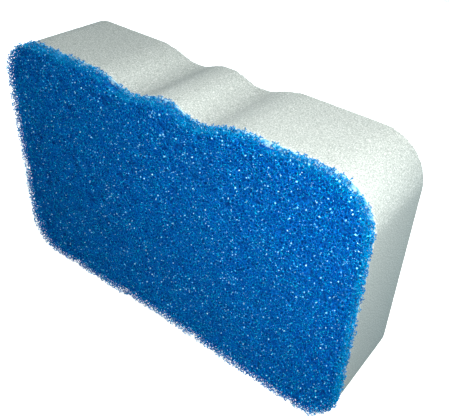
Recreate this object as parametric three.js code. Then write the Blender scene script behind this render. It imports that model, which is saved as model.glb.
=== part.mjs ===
// A two-layer sponge filter block: a thin pad of coarse open-cell foam, a bond film
// and a thick block of fine foam, all cut to one outline. Millimetres, +Z up.
// The block stands on its narrow edge and the coarse pad faces -Y.
import * as THREE from 'three';

// Overall size
const WIDTH = 200;
const HEIGHT = 126;
const DEPTH = 50;

// Layers, front to back
const PAD_DEPTH = 6.5;
const FILM_DEPTH = 0.4;
const GAP = 0.3;
const FILM_INSET = 1;

// Outline: rounded corners, and finger valleys on both sides of a low hump
const TOP_CORNER_RADIUS = 22;
const BASE_CORNER_RADIUS = 19;
const VALLEY_OFFSET = 19;
const VALLEY_DEPTH = 5.2;
const VALLEY_RADIUS = 21;
const SHOULDER_RADIUS = 47;
const HUMP_DROP = 1;

// The base edge is slightly hollow between two flat lands
const BASE_HOLLOW = 3.4;
const BASE_LAND = 10;

const BASE_STEPS = 18;
const CORNER_STEPS = 14;
const WAVE_STEPS = 9;

const PAD_COLOUR = 0x0b5fa8;
const FILM_COLOUR = 0xe8ebe6;
const BLOCK_COLOUR = 0xd3dbd3;

function arc(centreX, centreZ, radius, fromAngle, toAngle, steps) {
  const curve = new THREE.EllipseCurve(
    centreX, centreZ, radius, radius, fromAngle, toAngle, toAngle < fromAngle);
  return curve.getPoints(steps);
}

// Right half of the base edge, from the middle out to the corner.
function hollowBase(inset) {
  const hollowEnd = WIDTH / 2 - BASE_CORNER_RADIUS - BASE_LAND;
  const points = [];
  for (let i = 0; i <= BASE_STEPS; i += 1) {
    const along = i / BASE_STEPS;
    const rise = BASE_HOLLOW * (0.5 + 0.5 * Math.cos(Math.PI * along));
    points.push(new THREE.Vector2(hollowEnd * along, inset + rise));
  }
  return points;
}

// Right half of the grip edge, from the shoulder to the top of the hump. The shoulder,
// valley and hump are arcs that touch, so each one ends on the line between two centres.
function gripEdge(inset) {
  const rise = VALLEY_DEPTH - HUMP_DROP;
  const humpRadius = (VALLEY_OFFSET ** 2 + rise ** 2) / (2 * rise) - VALLEY_RADIUS;
  const bend = VALLEY_RADIUS + SHOULDER_RADIUS;
  const shoulderX = VALLEY_OFFSET + Math.sqrt(2 * bend * VALLEY_DEPTH - VALLEY_DEPTH ** 2);
  const shoulderZ = HEIGHT - SHOULDER_RADIUS;
  const valleyZ = HEIGHT - VALLEY_DEPTH + VALLEY_RADIUS;
  const humpZ = HEIGHT - HUMP_DROP - humpRadius;
  const toValley = Math.atan2(valleyZ - shoulderZ, VALLEY_OFFSET - shoulderX);
  const toHump = Math.atan2(humpZ - valleyZ, -VALLEY_OFFSET);
  return [
    ...arc(shoulderX, shoulderZ, SHOULDER_RADIUS - inset, Math.PI / 2, toValley, WAVE_STEPS),
    ...arc(VALLEY_OFFSET, valleyZ, VALLEY_RADIUS + inset, toValley - Math.PI, toHump,
      WAVE_STEPS),
    ...arc(0, humpZ, humpRadius - inset, toHump + Math.PI, Math.PI / 2, WAVE_STEPS),
  ];
}

// The closed outline in X and Z, drawn in by inset all round.
function outline(inset) {
  const baseX = WIDTH / 2 - BASE_CORNER_RADIUS;
  const topX = WIDTH / 2 - TOP_CORNER_RADIUS;
  const topZ = HEIGHT - TOP_CORNER_RADIUS;
  const half = [
    ...hollowBase(inset),
    ...arc(baseX, BASE_CORNER_RADIUS, BASE_CORNER_RADIUS - inset, -Math.PI / 2, 0,
      CORNER_STEPS),
    ...arc(topX, topZ, TOP_CORNER_RADIUS - inset, 0, Math.PI / 2, CORNER_STEPS),
    ...gripEdge(inset),
  ];
  const apart = (point, i) => i === 0 || point.distanceTo(half[i - 1]) > 1e-6;
  const right = half.filter(apart);
  const left = right.slice(1, -1).reverse().map((point) => new THREE.Vector2(-point.x, point.y));
  return new THREE.Shape([...right, ...left]);
}

// A slab of the outline from frontY back to frontY + depth.
function layer(name, inset, frontY, depth, colour, roughness) {
  const geometry = new THREE.ExtrudeGeometry(outline(inset), { depth, bevelEnabled: false });
  const material = new THREE.MeshStandardMaterial({ color: colour, roughness, metalness: 0 });
  const mesh = new THREE.Mesh(geometry, material);
  mesh.name = name;
  mesh.rotation.x = Math.PI / 2;
  mesh.position.y = frontY + depth;
  return mesh;
}

function coarseFoamPad() {
  return layer('coarse_foam_pad', 0, -DEPTH / 2, PAD_DEPTH, PAD_COLOUR, 0.55);
}

function bondFilm() {
  const frontY = -DEPTH / 2 + PAD_DEPTH + GAP;
  return layer('bond_film', FILM_INSET, frontY, FILM_DEPTH, FILM_COLOUR, 0.4);
}

function fineFoamBlock() {
  const frontY = -DEPTH / 2 + PAD_DEPTH + GAP + FILM_DEPTH + GAP;
  return layer('fine_foam_block', 0, frontY, DEPTH / 2 - frontY, BLOCK_COLOUR, 0.95);
}

const spongeFilter = new THREE.Group();
spongeFilter.add(coarseFoamPad(), bondFilm(), fineFoamBlock());

export default spongeFilter;
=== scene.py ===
import math
from itertools import combinations

import bpy
import numpy as np
from mathutils import Matrix, Vector


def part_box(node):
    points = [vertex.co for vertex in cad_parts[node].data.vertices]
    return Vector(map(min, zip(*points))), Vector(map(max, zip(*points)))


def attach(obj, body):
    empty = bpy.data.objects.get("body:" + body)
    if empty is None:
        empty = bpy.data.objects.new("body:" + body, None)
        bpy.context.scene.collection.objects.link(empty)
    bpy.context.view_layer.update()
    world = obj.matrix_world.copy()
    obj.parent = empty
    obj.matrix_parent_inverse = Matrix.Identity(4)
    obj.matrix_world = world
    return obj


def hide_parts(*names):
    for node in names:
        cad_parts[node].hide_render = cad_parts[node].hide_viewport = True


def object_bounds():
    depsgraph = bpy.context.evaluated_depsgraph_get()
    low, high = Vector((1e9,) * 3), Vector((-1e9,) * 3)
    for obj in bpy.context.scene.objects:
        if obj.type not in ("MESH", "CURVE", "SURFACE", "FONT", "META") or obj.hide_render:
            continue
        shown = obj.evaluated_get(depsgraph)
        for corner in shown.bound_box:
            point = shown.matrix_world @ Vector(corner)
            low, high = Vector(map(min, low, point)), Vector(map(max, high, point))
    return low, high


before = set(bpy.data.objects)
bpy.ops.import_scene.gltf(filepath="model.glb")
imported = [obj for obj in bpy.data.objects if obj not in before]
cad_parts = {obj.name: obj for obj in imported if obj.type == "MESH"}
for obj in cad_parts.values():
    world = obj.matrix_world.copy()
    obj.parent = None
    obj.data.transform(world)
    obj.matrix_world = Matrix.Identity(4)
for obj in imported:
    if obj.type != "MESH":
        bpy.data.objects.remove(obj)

CAD_LOW, CAD_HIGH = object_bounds()
PAD_LOW, PAD_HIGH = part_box("coarse_foam_pad")
BLOCK_LOW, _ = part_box("fine_foam_block")

MM = 0.001
SEED = 7

# Coarse foam
CELL = 2.1 * MM
CELL_GAP = 0.83 * CELL
CELL_REACH = 1.6 * CELL
SPREAD_ROUNDS = 16
SPREAD_STEP = 0.3
EVENING_ROUNDS = 3
STRUT_RADIUS = 0.18 * MM
STRUT_VARIATION = 0.12
CUT_TAPER = 0.85
CUT_SCATTER = 0.12
SHORTEST_CUT = 0.3
PAD_PROUD = 0.6 * MM
FRAY = 0.6 * MM
FRAY_SIZE = 2.5 * MM
# Width of the band round the rim in which the strut colour gets painted light, paler towards the
# outline
PAINTED_RIM_LIGHT_WIDTH = 2.0 * MM
WINDOW_SHARE = 0.38
WINDOW_BULGE = (0.04 * MM, 0.16 * MM)
WINDOW_SIDES = 4
FRONT_DEPTH = 2.6 * MM
RIM_DEPTH = 2.1 * MM
TILE = 20.0 * MM
FILM_SPREAD = 0.8 * MM
CORE_GRID = 0.8 * MM
CORE_RELIEF = 0.5 * MM

# Fine foam
BLOCK_VOXEL = 0.95 * MM
PORE_SIZE = 2.6 * MM
PORE_RELIEF = 0.03 * MM

# Studio, in metres
FLOOR_RADIUS = 2.0
FLOOR_RINGS = 12
FIRST_RING = 0.05
SWEEP_RADIUS = 1.0
SWEEP_STEPS = 12
SWEEP_TURNS = 96
WALL_HEIGHT = 3.0

# The six pairs of a corner's four cells: a wall lies between the two cells of each
WALLS = np.array(list(combinations(range(4), 2)))


def mesh_object(name, points, faces):
    """A smooth mesh object. faces is a list of arrays, each with one face a row."""
    mesh = bpy.data.meshes.new(name)
    sizes = np.concatenate([np.full(len(f), f.shape[1], np.int32) for f in faces])
    corners = np.concatenate([f.ravel() for f in faces]).astype(np.int32)
    mesh.vertices.add(len(points))
    mesh.vertices.foreach_set("co", np.asarray(points, np.float32).ravel())
    mesh.loops.add(len(corners))
    mesh.loops.foreach_set("vertex_index", corners)
    mesh.polygons.add(len(sizes))
    mesh.polygons.foreach_set("loop_start", np.concatenate([[0], np.cumsum(sizes)[:-1]]))
    mesh.polygons.foreach_set("use_smooth", np.ones(len(sizes), bool))
    mesh.update(calc_edges=True)
    mesh.validate()
    obj = bpy.data.objects.new(name, mesh)
    bpy.context.scene.collection.objects.link(obj)
    return obj


def points_of(obj):
    points = np.empty(3 * len(obj.data.vertices), np.float32)
    obj.data.vertices.foreach_get("co", points)
    return points.reshape(-1, 3).astype(float)


def move_points(obj, places):
    obj.data.vertices.foreach_set("co", places.astype(np.float32).ravel())
    obj.data.update()


def unit(vectors):
    return vectors / np.maximum(np.linalg.norm(vectors, axis=-1, keepdims=True), 1e-12)


def smooth_noise(places, size, rng, waves=24):
    """Bumps about size apart, between -1 and 1, at each place."""
    total = np.zeros(len(places))
    for _ in range(waves):
        wave = unit(rng.normal(size=3)) * 2 * math.pi / (size * rng.uniform(0.8, 1.6))
        total += np.sin(places @ wave + rng.uniform(0, 2 * math.pi))
    return total / math.sqrt(waves)


# Outline


def outline_of(node):
    """The outline of a node's front face in X and Z, anticlockwise, seen from the front."""
    corners = points_of(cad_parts[node])
    on_front = np.isclose(corners[:, 1], corners[:, 1].min(), atol=1e-6)
    outline = np.unique(np.round(corners[on_front][:, [0, 2]], 7), axis=0)
    middle = (outline.min(0) + outline.max(0)) / 2
    from_middle = outline - middle
    return outline[np.argsort(np.arctan2(from_middle[:, 1], from_middle[:, 0]))]


def depth_inside(points, outline):
    """How far each X, Z point lies inside the outline, negative outside it."""
    nearest = np.full(len(points), np.inf)
    inside = np.zeros(len(points), bool)
    for start, end in zip(outline, np.roll(outline, -1, 0)):
        edge = end - start
        offset = points - start
        along = np.clip(offset @ edge / (edge @ edge), 0, 1)
        gap = offset - along[:, None] * edge
        nearest = np.minimum(nearest, (gap**2).sum(1))
        crosses = (start[1] > points[:, 1]) != (end[1] > points[:, 1])
        if edge[1]:
            inside ^= crosses & (offset[:, 0] < edge[0] * offset[:, 1] / edge[1])
    return np.where(inside, 1, -1) * np.sqrt(nearest)


# Coarse foam: random cells, with a strut along each line where three cells meet


def near_pairs(points, reach):
    """Both orders of every pair of points closer than reach, as two lists of numbers."""
    box = np.floor((points - points.min(0)) / reach).astype(np.int64) + 1
    size = box.max(0) + 2
    key = (box[:, 0] * size[1] + box[:, 1]) * size[2] + box[:, 2]
    order = np.argsort(key, kind="stable")
    sorted_key = key[order]
    firsts, seconds = [], []
    for step in np.ndindex(3, 3, 3):
        x, y, z = np.array(step) - 1
        wanted = key + (x * size[1] + y) * size[2] + z
        start = np.searchsorted(sorted_key, wanted, "left")
        count = np.searchsorted(sorted_key, wanted, "right") - start
        first = np.repeat(np.arange(len(points)), count)
        place = np.arange(count.sum()) - np.repeat(np.cumsum(count) - count, count)
        second = order[np.repeat(start, count) + place]
        near = ((points[first] - points[second]) ** 2).sum(1) < reach**2
        near &= first != second
        firsts.append(first[near])
        seconds.append(second[near])
    return np.concatenate(firsts), np.concatenate(seconds)


def summed(rows, values, count):
    return np.stack([np.bincount(rows, values[:, k], count) for k in range(3)], 1)


def spread(points, gap, rounds):
    """Points pushed apart until few are closer than gap."""
    for _ in range(rounds):
        first, second = near_pairs(points, gap)
        away = points[first] - points[second]
        short = gap - np.linalg.norm(away, axis=1)
        points = points + summed(first, unit(away) * SPREAD_STEP * short[:, None], len(points))
    return points


def neighbour_table(points, reach):
    """Each point's neighbours within reach, one row a point, filled up with -1."""
    first, second = near_pairs(points, reach)
    order = np.lexsort((second, first))
    first, second = first[order], second[order]
    count = np.bincount(first, minlength=len(points))
    table = np.full((len(points), count.max()), -1)
    table[first, np.arange(len(first)) - (np.cumsum(count) - count)[first]] = second
    return table


def far_from_all(centre, radius, rows, points):
    """Whether no point that the rows name lies in the sphere."""
    empty = np.ones(len(centre), bool)
    for column in rows.T:
        left = np.flatnonzero(empty & (column >= 0))
        square = ((points[column[left]] - centre[left]) ** 2).sum(1)
        empty[left] = square > (radius[left] * (1 - 1e-6)) ** 2
    return empty


def cell_corners(points, reach):
    """Where the cells round four points meet: the four points of each corner, and its place."""
    table = neighbour_table(points, reach)
    higher = np.sort(np.where(table > np.arange(len(points))[:, None], table, -1), 1)[:, ::-1]
    count = (higher >= 0).sum(1)
    owners, places = [], []
    for size in range(3, count.max() + 1):
        threes = np.array(list(combinations(range(size), 3)))
        for rows in np.array_split(np.flatnonzero(count == size), 1 + 3 * size):
            if not len(rows):
                continue
            arms = points[higher[rows, :size]] - points[rows][:, None]
            squares = (arms**2).sum(-1)
            a, b, c = (arms[:, threes[:, k]] for k in range(3))
            aa, bb, cc = (squares[:, threes[:, k], None] for k in range(3))
            b_c = np.cross(b, c)
            volume = 2 * (a * b_c).sum(-1)
            centre = aa * b_c + bb * np.cross(c, a) + cc * np.cross(a, b)
            row, three = np.nonzero((centre**2).sum(-1) < (volume * reach / 2) ** 2)
            centre = centre[row, three] / volume[row, three][:, None]
            radius = np.linalg.norm(centre, axis=1)
            row, three = rows[row], threes[three]
            centre += points[row]
            empty = far_from_all(centre, radius, table[row], points)
            row, three, centre = row[empty], three[empty], centre[empty]
            owners.append(np.column_stack([row, higher[row[:, None], three]]))
            places.append(centre)
    return np.sort(np.concatenate(owners), 1), np.concatenate(places)


def joined_corners(owners):
    """For each corner and each of its four points, the corner that shares the other three
    points, or -1. A strut joins the two."""
    total = owners.max() + 1
    keys = []
    for left_out in range(4):
        x, y, z = np.delete(owners, left_out, 1).T
        keys.append((x * total + y) * total + z)
    keys = np.stack(keys, 1).ravel()
    order = np.argsort(keys, kind="stable")
    same = np.flatnonzero(keys[order][1:] == keys[order][:-1])
    first, second = order[same], order[same + 1]
    joined = np.full(len(keys), -1)
    joined[first], joined[second] = second // 4, first // 4
    return joined.reshape(-1, 4)


def evened(places, joined, rounds):
    """Corners drawn towards the middle of their neighbours, as surface tension does."""
    whole = np.flatnonzero((joined >= 0).all(1))
    for _ in range(rounds):
        places = places.copy()
        places[whole] = (places[whole] + places[joined[whole]].mean(1)) / 2
    return places


def largest_group(joined, chosen):
    """The chosen corners in the largest group that struts hold together."""
    group = np.arange(len(joined))
    linked = chosen[:, None] & chosen[joined]
    while True:
        lowest = np.minimum(group, np.where(linked, group[joined], len(joined)).min(1))
        lowest = lowest[lowest]
        if (lowest == group).all():
            return chosen & (group == np.bincount(group[chosen]).argmax())
        group = lowest


def strut_skin(places, joined, cut_ends, radii, seeds, owners):
    """One closed skin round the struts that meet at places. A strut goes to the joined corner,
    or where that is -1 to its cut end. Each corner has a skin point between every two struts,
    on the wall between two cells, so a strut has three edges, one on each wall that it holds.
    Also gives the corner that each skin point belongs to."""
    others = WALLS[::-1]
    ports = np.array([(3, 5, 4), (1, 5, 2), (0, 4, 2), (0, 3, 1)])
    webs = np.array([(0, 1, 2), (0, 3, 4), (1, 3, 5), (2, 4, 5)])
    count = np.arange(len(places))
    ends = np.where((joined < 0)[..., None], cut_ends, places[joined])
    ways = unit(ends - places[:, None])
    spokes = unit(ways[:, others[:, 0]] + ways[:, others[:, 1]]) * radii[:, None, None]
    skin = (places[:, None] + spokes).reshape(-1, 3)

    web = 6 * count[:, None, None] + webs
    a, b, c = (skin[web[:, :, k]] for k in range(3))
    towards_cell = seeds[owners] - places[:, None]
    inward = (np.cross(b - a, c - a) * towards_cell).sum(-1) < 0
    web[inward] = web[inward][:, ::-1]

    def wrapped(ring_a, ring_b, axis):
        a, b, c = (points[ring_a[:, k]] for k in range(3))
        reversed_ring = (np.cross(b - a, c - a) * axis).sum(-1) < 0
        ring_a[reversed_ring] = ring_a[reversed_ring][:, ::-1]
        ring_b[reversed_ring] = ring_b[reversed_ring][:, ::-1]
        for k, n in ((0, 1), (1, 2), (2, 0)):
            quads.append(np.column_stack([ring_a[:, k], ring_a[:, n], ring_b[:, n], ring_b[:, k]]))

    ring = 6 * count[:, None, None] + ports
    quads = []
    here, port = np.nonzero(joined < 0)
    corner_of = np.concatenate([np.repeat(count, 6), np.repeat(here, 3)])
    stub = ring[here, port]
    reach = (cut_ends - places[:, None])[here, port]
    tips = len(skin) + np.arange(3 * len(here)).reshape(-1, 3)
    points = np.concatenate([skin, (skin[stub] + CUT_TAPER * reach[:, None]).reshape(-1, 3)])
    wrapped(stub, tips, reach)

    here, port = np.nonzero(joined > count[:, None])
    there = joined[here, port]
    back = np.argmax(joined[there] == here[:, None], 1)
    wrapped(ring[here, port], ring[there, back], places[there] - places[here])
    triangles = np.concatenate([web.reshape(-1, 3), tips])
    return points, np.concatenate(quads), triangles, corner_of


def window_skin(places, rings, seeds, pairs, rng):
    """Thin lenses across some cell windows. rings holds each window's corners, one row a window,
    and pairs the two cells that it lies between."""
    corners = places[rings]
    middle = corners.mean(1)
    axis = unit(seeds[pairs[:, 1]] - seeds[pairs[:, 0]])
    arms = corners - middle[:, None]
    side = unit(arms[:, 0] - (arms[:, 0] * axis).sum(1)[:, None] * axis)
    up = np.cross(axis, side)
    angle = np.arctan2((arms * up[:, None]).sum(-1), (arms * side[:, None]).sum(-1))
    order = np.argsort(angle, 1)
    corners = np.take_along_axis(corners, order[..., None], 1)
    count, sides = rings.shape
    bulge = axis * rng.uniform(*WINDOW_BULGE, (count, 1))
    points = np.concatenate([corners, (middle + bulge)[:, None], (middle - bulge)[:, None]], 1)
    start = (sides + 2) * np.arange(count)
    faces = []
    for k in range(sides):
        n = (k + 1) % sides
        faces.append(start[:, None] + (k, n, sides))
        faces.append(start[:, None] + (n, k, sides + 1))
    return points.reshape(-1, 3), np.concatenate(faces)


def windows(places, owners, chosen, seeds, rng):
    """The windows that kept their film: a share of those with all their corners chosen."""
    total = len(seeds)
    key = (owners[:, WALLS[:, 0]] * total + owners[:, WALLS[:, 1]]).ravel()
    corner = np.repeat(np.arange(len(owners)), len(WALLS))
    order = np.argsort(key, kind="stable")
    key, corner = key[order], corner[order]
    wall, start, sides = np.unique(key, return_index=True, return_counts=True)
    whole = np.add.reduceat(chosen[corner].astype(int), start) == sides
    whole &= rng.uniform(size=len(wall)) < WINDOW_SHARE
    points, faces, offset = [], [], 0
    for size in range(3, WINDOW_SIDES + 1):
        rows = np.flatnonzero(whole & (sides == size))
        if len(rows):
            rings = corner[start[rows][:, None] + np.arange(size)]
            pairs = np.column_stack(np.divmod(wall[rows], total))
            part, part_faces = window_skin(places, rings, seeds, pairs, rng)
            points.append(part)
            faces.append(part_faces + offset)
            offset += len(part)
    return mesh_object("coarse_foam_windows", np.concatenate(points), [np.concatenate(faces)])


def coarse_foam(outline):
    """The pad's struts: a layer behind its front face, and the whole depth round its rim. They
    come in tiles, side by side along X, each a closed mesh of its own."""
    rng = np.random.default_rng(SEED)
    front, rear = PAD_LOW.y, BLOCK_LOW.y

    def depths(points):
        """How deep a point lies inside the outline, in the pad, and in the part of the pad that
        gets struts."""
        fray = FRAY * smooth_noise(points, FRAY_SIZE, np.random.default_rng(SEED + 1))
        rim = depth_inside(points[:, [0, 2]], outline)
        pad = np.minimum(rim + PAD_PROUD + fray, points[:, 1] - front)
        pad = np.minimum(pad, points[:, 2] - PAD_LOW.z - 2 * STRUT_RADIUS)
        kept = np.maximum(RIM_DEPTH - rim, front + FRONT_DEPTH - points[:, 1])
        return rim, np.minimum(pad, rear - points[:, 1]), kept

    low = np.array(PAD_LOW) - CELL
    high = np.array([PAD_HIGH.x, rear, PAD_HIGH.z]) + CELL
    cell_volume = CELL**3 / 2
    seeds = rng.uniform(low, high, (int(np.prod(high - low) / cell_volume), 3))
    _, pad, kept = depths(seeds)
    seeds = seeds[(pad > -CELL) & (kept > -CELL)]
    seeds = spread(seeds, CELL_GAP, SPREAD_ROUNDS)
    owners, places = cell_corners(seeds, CELL_REACH)
    joined = joined_corners(owners)
    places = evened(places, joined, EVENING_ROUNDS)

    rim, pad, kept = depths(places)
    depth = np.minimum(pad, kept)
    chosen = largest_group(joined, (depth > 0) & (joined >= 0).all(1))
    far = joined[chosen]
    share = depth[chosen][:, None] / (depth[chosen][:, None] - depth[far]).clip(1e-9)
    share = np.where(depth[far] > 0, 1, share) + rng.normal(0, CUT_SCATTER, share.shape)
    share = share.clip(SHORTEST_CUT, 1)
    radii = STRUT_RADIUS * (1 + STRUT_VARIATION * rng.normal(size=len(far)).clip(-2, 2))

    tile = np.where(chosen, (places[:, 0] - low[0]) // TILE, -1).astype(int)
    share[chosen[far] & (tile[far] != tile[chosen][:, None])] = 0.5
    here = places[chosen]
    cut_ends = here[:, None] + share[..., None] * (places[far] - here[:, None])
    struts = []
    for k in range(tile.max() + 1):
        in_tile = tile == k
        rows = in_tile[chosen]
        number = np.where(in_tile, np.cumsum(in_tile) - 1, -1)
        points, quads, triangles, corner_of = strut_skin(
            here[rows], number[far[rows]], cut_ends[rows], radii[rows], seeds,
            owners[in_tile])
        obj = mesh_object(f"coarse_foam_struts_{k + 1:02d}", points, [quads, triangles])
        # Painted light: a share from 0 to 1 that makes the strut colour paler towards the rim,
        # standing in for the light that gets through the struts there
        painted_rim_light = (1 - rim[in_tile] / PAINTED_RIM_LIGHT_WIDTH).clip(0, 1)[corner_of]
        obj.data.attributes.new("painted_rim_light", "FLOAT", "POINT").data.foreach_set("value", painted_rim_light)
        struts.append(obj)
    return struts, windows(places, owners, chosen, seeds, rng)


# Materials


def new_material(name, **sockets):
    material = bpy.data.materials.new(name)
    material.use_nodes = True
    shader = material.node_tree.nodes["Principled BSDF"]
    for socket, value in sockets.items():
        shader.inputs[socket.replace("_", " ")].default_value = value
    return material, material.node_tree, shader


def add_node(tree, kind, **settings):
    node = tree.nodes.new("ShaderNode" + kind)
    for name, value in settings.items():
        if name in node.inputs:
            node.inputs[name].default_value = value
        else:
            setattr(node, name, value)
    return node


def noise(tree, scale, detail=3.0):
    """Noise in the object's own metres."""
    where = add_node(tree, "TexCoord")
    texture = add_node(tree, "TexNoise", Scale=scale, Detail=detail)
    tree.links.new(where.outputs["Object"], texture.inputs["Vector"])
    return texture.outputs["Fac"]


def ramp(tree, value, stops):
    """A colour ramp over value, from a list of (position, colour)."""
    node = add_node(tree, "ValToRGB")
    node.color_ramp.elements[0].position = stops[0][0]
    node.color_ramp.elements[0].color = (*stops[0][1], 1)
    node.color_ramp.elements[1].position = stops[-1][0]
    node.color_ramp.elements[1].color = (*stops[-1][1], 1)
    for position, colour in stops[1:-1]:
        node.color_ramp.elements.new(position).color = (*colour, 1)
    tree.links.new(value, node.inputs["Fac"])
    return node.outputs["Color"]


def strut_material():
    """Blue, with painted light: paler towards the rim, standing in for the light that gets through
    the struts there.
    """
    material, tree, shader = new_material(
        "coarse_foam_blue", Roughness=0.14, Specular_IOR_Level=1.0,
        Specular_Tint=(0.25, 0.85, 1.0, 1.0))
    patches = noise(tree, 260.0)
    deep = ramp(tree, patches, [(0.35, (0.0, 0.11, 0.52)), (0.65, (0.0, 0.165, 0.68))])
    # The rim colour, a lighter blue: painted light where light gets through the struts
    light = ramp(tree, patches, [(0.35, (0.0, 0.20, 0.60)), (0.65, (0.0, 0.31, 0.76))])
    painted_rim_light = add_node(tree, "Attribute", attribute_name="painted_rim_light")
    mix = add_node(tree, "Mix", data_type="RGBA")
    tree.links.new(painted_rim_light.outputs["Fac"], mix.inputs["Factor"])
    tree.links.new(deep, mix.inputs["A"])
    tree.links.new(light, mix.inputs["B"])
    # Painted glints: sparse bright cyan specks in the base colour stand in for highlights on the
    # struts
    painted_glint = add_node(tree, "Mix", data_type="RGBA")
    painted_glint.inputs["B"].default_value = (0.0, 0.66, 1.0, 1.0)
    tree.links.new(ramp(tree, noise(tree, 1500.0), [
        (0.58, (0.0, 0.0, 0.0)), (0.64, (1.0, 1.0, 1.0))]), painted_glint.inputs["Factor"])
    tree.links.new(mix.outputs["Result"], painted_glint.inputs["A"])
    tree.links.new(painted_glint.outputs["Result"], shader.inputs["Base Color"])
    return material


def window_material():
    material, tree, shader = new_material(
        "coarse_foam_film_and_painted_glints", Roughness=0.15, Specular_IOR_Level=1.0)
    # Painted reflection: the colour runs from blue to near white, and the whiter films stand in
    # for the glints that clear films give
    colour = ramp(tree, noise(tree, 500.0), [
        (0.4, (0.0, 0.5, 1.0)), (0.6, (0.45, 0.95, 1.0))])
    tree.links.new(colour, shader.inputs["Base Color"])
    return material


def core_material():
    material, tree, shader = new_material(
        "coarse_foam_deep_painted_shade", Roughness=0.8, Specular_IOR_Level=0.1)
    # Painted shade: a darker blue than the struts, standing in for the shade among the deeper
    # layers of foam
    colour = ramp(tree, noise(tree, 900.0, 4.0), [
        (0.40, (0.0, 0.06, 0.30)), (0.62, (0.0, 0.16, 0.56))])
    tree.links.new(colour, shader.inputs["Base Color"])
    return material


def film_material():
    material, tree, shader = new_material("bond_web_white_and_painted_light", Roughness=0.45)
    # Painted light: the white film is tinted blue to light cyan, standing in for the light that
    # reaches it through the blue struts
    colour = ramp(tree, noise(tree, 700.0), [
        (0.4, (0.05, 0.50, 0.85)), (0.6, (0.65, 0.92, 1.0))])
    tree.links.new(colour, shader.inputs["Base Color"])
    return material


def block_material():
    material, tree, shader = new_material("fine_foam_white", Roughness=0.9)
    pore_shade_and_bump = noise(tree, 1800.0, 2.0)
    # Painted shade and sparkle: the ramp darkens the pore hollows as if in shade and lightens a
    # few specks as glints; the same noise drives the bump
    colour = ramp(tree, pore_shade_and_bump, [
        (0.34, (0.38, 0.42, 0.40)), (0.45, (0.565, 0.605, 0.58)),
        (0.57, (0.615, 0.65, 0.625)), (0.66, (0.88, 0.90, 0.88))])
    tree.links.new(colour, shader.inputs["Base Color"])
    bump = add_node(tree, "Bump", Strength=0.6, Distance=0.3 * MM)
    tree.links.new(pore_shade_and_bump, bump.inputs["Height"])
    tree.links.new(bump.outputs["Normal"], shader.inputs["Normal"])
    return material


# Pieces


def modified_copy(node, name, set_up):
    """A new object with a CAD node's mesh after the modifiers that set_up adds."""
    source = bpy.data.objects.new(name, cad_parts[node].data.copy())
    bpy.context.scene.collection.objects.link(source)
    set_up(source)
    bpy.context.view_layer.update()
    evaluated = source.evaluated_get(bpy.context.evaluated_depsgraph_get())
    mesh = bpy.data.meshes.new_from_object(evaluated)
    bpy.data.objects.remove(source)
    obj = bpy.data.objects.new(name, mesh)
    bpy.context.scene.collection.objects.link(obj)
    return obj


def voxel_copy(node, name, voxel):
    def set_up(obj):
        remesh = obj.modifiers.new("skin", "REMESH")
        remesh.mode = "VOXEL"
        remesh.voxel_size = voxel
        remesh.use_smooth_shade = True

    return modified_copy(node, name, set_up)


def fine_foam():
    obj = voxel_copy("fine_foam_block", "fine_foam_skin", BLOCK_VOXEL)
    rng = np.random.default_rng(SEED + 2)
    places = points_of(obj)
    normals = np.empty(3 * len(places), np.float32)
    obj.data.vertices.foreach_get("normal", normals)
    relief = smooth_noise(places, PORE_SIZE, rng) * PORE_RELIEF
    move_points(obj, places + normals.reshape(-1, 3) * relief[:, None])
    return obj


def core():
    """What is seen between the struts: the foam further in, a slab whose darker blue is painted
    shade of the deeper layers.
    """
    obj = voxel_copy("coarse_foam_pad", "coarse_foam_core", CORE_GRID)
    rng = np.random.default_rng(SEED + 3)
    places = points_of(obj)
    middle = (PAD_LOW + PAD_HIGH) / 2
    size = PAD_HIGH - PAD_LOW
    for axis in (0, 2):
        places[:, axis] = middle[axis] + (places[:, axis] - middle[axis]) * (
            1 - 2 * RIM_DEPTH / size[axis])
    front = PAD_LOW.y + FRONT_DEPTH
    depth = (places[:, 1] - PAD_LOW.y) / size.y
    places[:, 1] = front + depth * (PAD_HIGH.y - front)
    places[:, 1] += smooth_noise(places, CELL, rng) * CORE_RELIEF * (1 - depth).clip(0, 1)
    move_points(obj, places)
    return obj


def film():
    """The bond film, a little wider all round, so that its edge shows at the joint."""
    def set_up(obj):
        weld = obj.modifiers.new("weld", "WELD")
        weld.merge_threshold = 1e-6

    obj = modified_copy("bond_film", "bond_web", set_up)
    places = points_of(obj)
    middle = (places.min(0) + places.max(0)) / 2
    size = places.max(0) - places.min(0)
    move_points(obj, middle + (places - middle) * (1 + 2 * FILM_SPREAD / size * (1, 0, 1)))
    return obj


def build_pieces():
    outline = outline_of("coarse_foam_pad")
    struts, panes = coarse_foam(outline)
    block = fine_foam()
    for pieces, material, node, slot in (
            (struts, strut_material(), "coarse_foam_pad", "coarse_foam"),
            ([panes], window_material(), "coarse_foam_pad", "coarse_foam"),
            ([core()], core_material(), "coarse_foam_pad", "coarse_foam"),
            ([film()], film_material(), "bond_film", "bond_film"),
            ([block], block_material(), "fine_foam_block", "fine_foam")):
        for piece in pieces:
            piece.data.materials.clear()
            piece.data.materials.append(material)
            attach(piece, "root")
            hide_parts(node)


# Stage


def area_light(name, place, size, power, colour):
    """A square light that points at the middle of the block."""
    target = (CAD_LOW + CAD_HIGH) / 2
    data = bpy.data.lights.new(name, "AREA")
    data.shape = "SQUARE"
    data.size = size
    data.energy = power
    data.color = colour
    obj = bpy.data.objects.new(name, data)
    obj.location = place
    obj.rotation_mode = "QUATERNION"
    obj.rotation_quaternion = (target - Vector(place)).to_track_quat("-Z", "Y")
    obj.visible_camera = False
    bpy.context.scene.collection.objects.link(obj)


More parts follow.
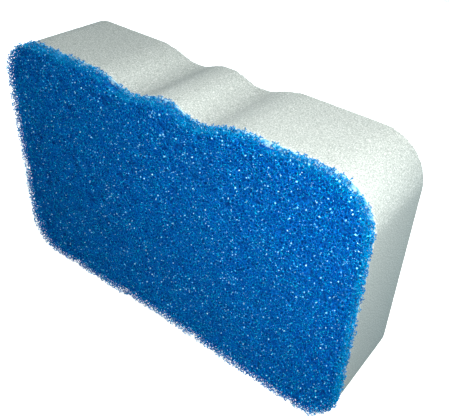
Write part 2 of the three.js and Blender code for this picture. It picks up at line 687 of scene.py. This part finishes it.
def sweep():
    """A round floor whose rim curves up into a wall, like a roll of studio paper."""
    profile = [(r, 0.0) for r in np.linspace(FIRST_RING, FLOOR_RADIUS, FLOOR_RINGS)]
    for angle in np.linspace(0, math.pi / 2, SWEEP_STEPS + 1)[1:]:
        profile.append((FLOOR_RADIUS + SWEEP_RADIUS * math.sin(angle),
                        SWEEP_RADIUS * (1 - math.cos(angle))))
    profile.append((FLOOR_RADIUS + SWEEP_RADIUS, WALL_HEIGHT))
    points = [(0.0, 0.0, 0.0)]
    for radius, height in profile:
        for k in range(SWEEP_TURNS):
            angle = 2 * math.pi * k / SWEEP_TURNS
            points.append((radius * math.cos(angle), radius * math.sin(angle), height))
    here = np.arange(SWEEP_TURNS)
    following = (here + 1) % SWEEP_TURNS
    fan = np.column_stack([np.zeros_like(here), 1 + here, 1 + following])
    quads = []
    for ring in range(len(profile) - 1):
        inner = 1 + ring * SWEEP_TURNS
        outer = inner + SWEEP_TURNS
        quads.append(np.column_stack([
            inner + here, outer + here, outer + following, inner + following]))
    return mesh_object("floor", points, [fan, np.concatenate(quads)])


def stage():
    """Floor, world and lights. Only the camera sees the floor, so it lights nothing."""
    floor = sweep()
    material, _, _ = new_material(
        "floor_paper", Roughness=0.9, Base_Color=(0.85, 0.85, 0.85, 1),
        Emission_Color=(0.96, 1.0, 1.0, 1), Emission_Strength=0.8)
    floor.data.materials.append(material)
    floor.visible_diffuse = False
    floor.visible_glossy = False
    world = bpy.data.worlds.new("studio")
    bpy.context.scene.world = world
    world.use_nodes = True
    background = world.node_tree.nodes["Background"]
    background.inputs["Color"].default_value = (0.8, 0.95, 1.0, 1)
    background.inputs["Strength"].default_value = 0.22
    world.cycles_visibility.glossy = False
    area_light("key", (0.19, -0.16, 0.29), 0.05, 1.12, (0.98, 0.99, 0.95))
    area_light("face", (0.11, -0.12, 0.11), 0.05, 0.05, (1.0, 1.0, 1.0))
    area_light("right", (0.27, 0.08, 0.05), 0.1, 0.045, (0.35, 0.78, 1.0))
    area_light("left", (-0.5, 0.12, 0.12), 0.24, 1.0, (0.85, 0.97, 1.0))
    area_light("rear", (0.0, 0.6, 0.14), 0.28, 3.2, (0.95, 0.98, 1.0))
    bpy.context.scene.view_settings.view_transform = "Standard"


def camera():
    """The camera looks at a point on the pad's front face, from above and from the right."""
    aim = Vector((58.7 * MM, PAD_LOW.y, 115.9 * MM))
    azimuth, elevation, roll, distance = 32.71, 33.91, 5.03, 220.2 * MM
    a, e = math.radians(azimuth), math.radians(elevation)
    back = Vector((math.sin(a) * math.cos(e), -math.cos(a) * math.cos(e), math.sin(e)))
    data = bpy.data.cameras.new("camera")
    data.lens = 48.38
    data.shift_x, data.shift_y = -0.1013, -0.0713
    data.clip_start, data.clip_end = 0.01, 20
    obj = bpy.data.objects.new("camera", data)
    obj.rotation_mode = "QUATERNION"
    level = (-back).to_track_quat("-Z", "Y")
    tilt = Matrix.Rotation(math.radians(roll), 3, "Z").to_quaternion()
    obj.location = aim + back * distance
    obj.rotation_quaternion = level @ tilt
    bpy.context.scene.collection.objects.link(obj)
    bpy.context.scene.camera = obj


build_pieces()
stage()
camera()
